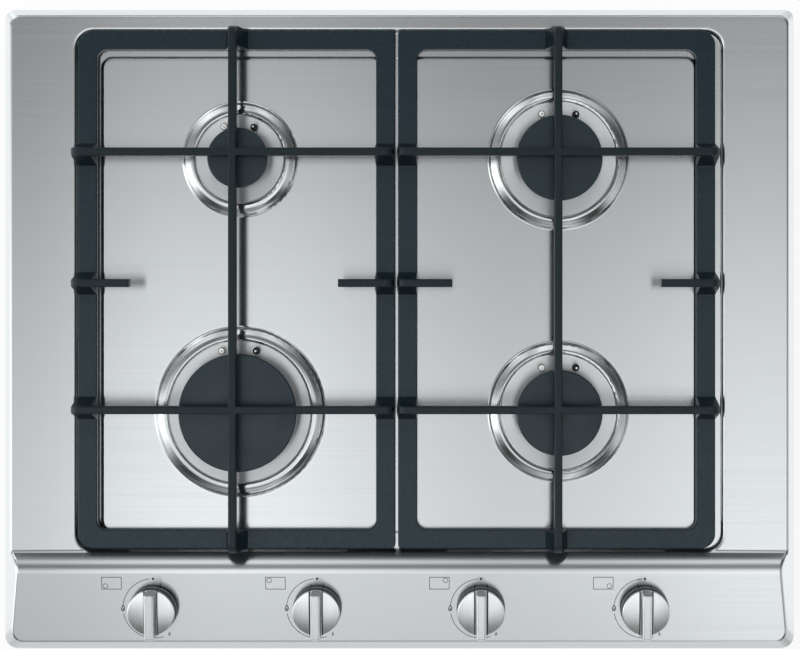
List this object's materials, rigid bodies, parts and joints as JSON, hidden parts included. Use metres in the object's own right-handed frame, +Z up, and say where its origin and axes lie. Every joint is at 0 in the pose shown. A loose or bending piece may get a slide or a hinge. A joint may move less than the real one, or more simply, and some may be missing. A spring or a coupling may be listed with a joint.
{
  "type": "gas cooktop",
  "caption": "Built-in gas hob: pressed steel plate with a recessed well, burners, lift-off cast pan supports, push-and-turn knobs, and taps, gas rail and ignition in a steel box below.",
  "frame": {"origin": "middle of the bounding box at the underside of the burner box", "axes": "+X to the right as the cook sees it, -Y towards the knobs and the cook, +Z up"},
  "size_m": [0.65, 0.526, 0.0895],
  "materials": {
    "plate_steel": "brushed along X",
    "sheet_steel": "dull zinc coat",
    "enamelled_iron": "black enamel, satin",
    "enamelled_cap": "matt black enamel",
    "burner_alloy": "cast, dull",
    "knob_metal": "satin silver",
    "brass": "machined",
    "plain_steel": "zinc plated",
    "pipe_aluminium": "drawn tube",
    "ceramic": "glazed white ceramic",
    "black_rubber": "matt",
    "seal_foam": "closed-cell foam",
    "dark_plastic": "moulded",
    "pale_plastic": "moulded"
  },
  "bodies": {
    "hob": {"box_nuts": "plain_steel", "burner_box": "sheet_steel", "burner_cup_left_back": "burner_alloy", "burner_cup_left_front": "burner_alloy", "burner_cup_right_back": "burner_alloy", "burner_cup_right_front": "burner_alloy", "burner_pipes": "pipe_aluminium", "cable_gland": "black_rubber", "cup_screws": "plain_steel", "gas_inlet": "brass", "gas_rail": "plain_steel", "hob_plate": "plate_steel", "ignition_electrode_left_back": "ceramic", "ignition_electrode_left_front": "ceramic", "ignition_electrode_right_back": "ceramic", "ignition_electrode_right_front": "ceramic", "ignition_generator": "dark_plastic", "ignition_pins": "plain_steel", "ignition_switches": "dark_plastic", "injectors": "brass", "pipe_nuts": "brass", "rail_clamps": "plain_steel", "rail_screws": "plain_steel", "sealing_strip": "seal_foam", "tap_body_left_back": "brass", "tap_body_left_front": "brass", "tap_body_right_back": "brass", "tap_body_right_front": "brass", "tap_nuts": "plain_steel", "terminal_block": "pale_plastic", "thermocouple_left_back": "plain_steel", "thermocouple_left_front": "plain_steel", "thermocouple_right_back": "plain_steel", "thermocouple_right_front": "plain_steel"},
    "support_left": {"pan_support_left": "enamelled_iron", "support_feet_left": "black_rubber"},
    "support_right": {"pan_support_right": "enamelled_iron", "support_feet_right": "black_rubber"},
    "crown_left_front": {"burner_crown_left_front": "burner_alloy"},
    "cap_left_front": {"burner_cap_left_front": "enamelled_cap"},
    "plunger_left_front": {"tap_plunger_left_front": "brass"},
    "knob_left_front": {"knob_left_front": "knob_metal", "tap_spindle_left_front": "plain_steel"},
    "crown_left_back": {"burner_crown_left_back": "burner_alloy"},
    "cap_left_back": {"burner_cap_left_back": "enamelled_cap"},
    "plunger_left_back": {"tap_plunger_left_back": "brass"},
    "knob_left_back": {"knob_left_back": "knob_metal", "tap_spindle_left_back": "plain_steel"},
    "crown_right_back": {"burner_crown_right_back": "burner_alloy"},
    "cap_right_back": {"burner_cap_right_back": "enamelled_cap"},
    "plunger_right_back": {"tap_plunger_right_back": "brass"},
    "knob_right_back": {"knob_right_back": "knob_metal", "tap_spindle_right_back": "plain_steel"},
    "crown_right_front": {"burner_crown_right_front": "burner_alloy"},
    "cap_right_front": {"burner_cap_right_front": "enamelled_cap"},
    "plunger_right_front": {"tap_plunger_right_front": "brass"},
    "knob_right_front": {"knob_right_front": "knob_metal", "tap_spindle_right_front": "plain_steel"}
  },
  "joints": [
    {"name": "lift_support_left", "type": "slide", "parent": "hob", "child": "support_left", "axis": [0, 0, 1], "range_m": [0, 0.08]},
    {"name": "lift_support_right", "type": "slide", "parent": "hob", "child": "support_right", "axis": [0, 0, 1], "range_m": [0, 0.08]},
    {"name": "lift_crown_left_front", "type": "slide", "parent": "hob", "child": "crown_left_front", "axis": [0, 0, 1], "range_m": [0, 0.0035]},
    {"name": "lift_cap_left_front", "type": "slide", "parent": "crown_left_front", "child": "cap_left_front", "axis": [0, 0, 1], "range_m": [0, 0.005]},
    {"name": "push_knob_left_front", "type": "slide", "parent": "hob", "child": "plunger_left_front", "axis": [0, -0.1279, 0.9918], "range_m": [-0.0035, 0], "stiffness_N_per_m": 800, "springref_m": 0.006},
    {"name": "turn_knob_left_front", "type": "hinge", "parent": "plunger_left_front", "child": "knob_left_front", "pos_m": [-0.2007, -0.2283, 0.05727], "axis": [0, -0.1279, 0.9918], "range_deg": [0, 210]},
    {"name": "lift_crown_left_back", "type": "slide", "parent": "hob", "child": "crown_left_back", "axis": [0, 0, 1], "range_m": [0, 0.0035]},
    {"name": "lift_cap_left_back", "type": "slide", "parent": "crown_left_back", "child": "cap_left_back", "axis": [0, 0, 1], "range_m": [0, 0.005]},
    {"name": "push_knob_left_back", "type": "slide", "parent": "hob", "child": "plunger_left_back", "axis": [0, -0.1279, 0.9918], "range_m": [-0.0035, 0], "stiffness_N_per_m": 800, "springref_m": 0.006},
    {"name": "turn_knob_left_back", "type": "hinge", "parent": "plunger_left_back", "child": "knob_left_back", "pos_m": [-0.0669, -0.2283, 0.05727], "axis": [0, -0.1279, 0.9918], "range_deg": [0, 210]},
    {"name": "lift_crown_right_back", "type": "slide", "parent": "hob", "child": "crown_right_back", "axis": [0, 0, 1], "range_m": [0, 0.0035]},
    {"name": "lift_cap_right_back", "type": "slide", "parent": "crown_right_back", "child": "cap_right_back", "axis": [0, 0, 1], "range_m": [0, 0.005]},
    {"name": "push_knob_right_back", "type": "slide", "parent": "hob", "child": "plunger_right_back", "axis": [0, -0.1279, 0.9918], "range_m": [-0.0035, 0], "stiffness_N_per_m": 800, "springref_m": 0.006},
    {"name": "turn_knob_right_back", "type": "hinge", "parent": "plunger_right_back", "child": "knob_right_back", "pos_m": [0.0669, -0.2283, 0.05727], "axis": [0, -0.1279, 0.9918], "range_deg": [0, 210]},
    {"name": "lift_crown_right_front", "type": "slide", "parent": "hob", "child": "crown_right_front", "axis": [0, 0, 1], "range_m": [0, 0.0035]},
    {"name": "lift_cap_right_front", "type": "slide", "parent": "crown_right_front", "child": "cap_right_front", "axis": [0, 0, 1], "range_m": [0, 0.005]},
    {"name": "push_knob_right_front", "type": "slide", "parent": "hob", "child": "plunger_right_front", "axis": [0, -0.1279, 0.9918], "range_m": [-0.0035, 0], "stiffness_N_per_m": 800, "springref_m": 0.006},
    {"name": "turn_knob_right_front", "type": "hinge", "parent": "plunger_right_front", "child": "knob_right_front", "pos_m": [0.2007, -0.2283, 0.05727], "axis": [0, -0.1279, 0.9918], "range_deg": [0, 210]}
  ]
}
